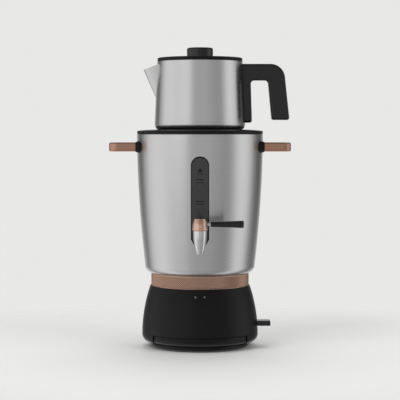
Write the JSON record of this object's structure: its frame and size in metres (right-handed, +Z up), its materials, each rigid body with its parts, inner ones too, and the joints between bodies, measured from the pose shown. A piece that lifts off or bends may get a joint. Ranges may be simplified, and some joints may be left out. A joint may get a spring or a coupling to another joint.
{
  "type": "samovar",
  "caption": "Electric tea samovar: flared brushed-steel water tank with a gauge window and lever tap, a steel teapot on top, and a black base under a knurled copper-coloured ring.",
  "frame": {"origin": "centre of the base on the counter that the rubber feet stand on", "axes": "+Z up; the tap and gauge face -Y, the teapot's spout points to -X, its handle and the tap's lever to +X"},
  "size_m": [0.284, 0.2285, 0.47],
  "materials": {
    "satin_black": "satin moulded black",
    "brushed_steel": "vertical brushed stainless",
    "chrome_plate": "polished plate",
    "copper_anodised": "copper-coloured satin anodising",
    "valve_brass": "machined",
    "black_rubber": "matte moulded",
    "silicone_seal": "matte grey silicone",
    "smoked_window": "smoked, polished",
    "tube_glass": "clear tube",
    "lamp_lens": "frosted light pipe",
    "circuit_board": "solder mask"
  },
  "bodies": {
    "base": {"base_housing": "satin_black", "bottom_cover": "satin_black", "cord_gland": "black_rubber", "gauge_channel": "satin_black", "gauge_gasket": "black_rubber", "gauge_window": "smoked_window", "handle_bush_left_front": "satin_black", "handle_bush_left_rear": "satin_black", "handle_bush_right_front": "satin_black", "handle_bush_right_rear": "satin_black", "handle_nut_left_front": "brushed_steel", "handle_nut_left_rear": "brushed_steel", "handle_nut_right_front": "brushed_steel", "handle_nut_right_rear": "brushed_steel", "heater_plate": "brushed_steel", "heating_element": "brushed_steel", "indicator_board": "circuit_board", "indicator_lens_left": "lamp_lens", "indicator_lens_right": "lamp_lens", "knurled_ring": "copper_anodised", "rubber_foot_1": "black_rubber", "rubber_foot_2": "black_rubber", "rubber_foot_3": "black_rubber", "rubber_foot_4": "black_rubber", "side_handle_left": "copper_anodised", "side_handle_right": "copper_anodised", "sight_tube": "tube_glass", "spout_nozzle": "chrome_plate", "switch_body": "satin_black", "switch_pin": "brushed_steel", "tank_collar": "satin_black", "tank_gasket": "silicone_seal", "tank_nut_1": "brushed_steel", "tank_nut_2": "brushed_steel", "tank_nut_3": "brushed_steel", "tank_nut_4": "brushed_steel", "tank_shell": "brushed_steel", "tap_body": "chrome_plate", "tap_gasket": "black_rubber", "tap_nut": "brushed_steel", "thermostat": "satin_black", "tube_seal_lower": "black_rubber", "tube_seal_upper": "black_rubber"},
    "tap_handle": {"valve_plug": "valve_brass", "tap_cap": "copper_anodised", "lever_rod": "brushed_steel", "tap_lever": "satin_black"},
    "teapot": {"teapot_body": "brushed_steel", "teapot_handle": "satin_black", "handle_bracket_upper": "brushed_steel", "handle_bracket_lower": "brushed_steel", "handle_screw_upper": "brushed_steel", "handle_screw_lower": "brushed_steel"},
    "lid": {"lid_disc": "satin_black", "lid_gasket": "silicone_seal", "lid_knob": "satin_black", "lid_screw": "brushed_steel"},
    "switch": {"switch_paddle": "satin_black"},
    "drip_tray": {"drip_tray": "satin_black"}
  },
  "joints": [
    {"name": "tap_turn", "type": "hinge", "parent": "base", "child": "tap_handle", "pos_m": [0, -0.11814, 0.1796], "axis": [0, 0, 1], "range_deg": [-90, 0]},
    {"name": "teapot_lift", "type": "slide", "parent": "base", "child": "teapot", "axis": [0, 0, 1], "range_m": [0, 0.15]},
    {"name": "lid_lift", "type": "slide", "parent": "teapot", "child": "lid", "axis": [0, 0, 1], "range_m": [0, 0.06]},
    {"name": "switch_rock", "type": "hinge", "parent": "base", "child": "switch", "pos_m": [0.0808, 0, 0.0366], "axis": [0, 1, 0], "range_deg": [0, 12]},
    {"name": "tray_slide", "type": "slide", "parent": "base", "child": "drip_tray", "axis": [0, -1, 0], "range_m": [0, 0.045]}
  ]
}
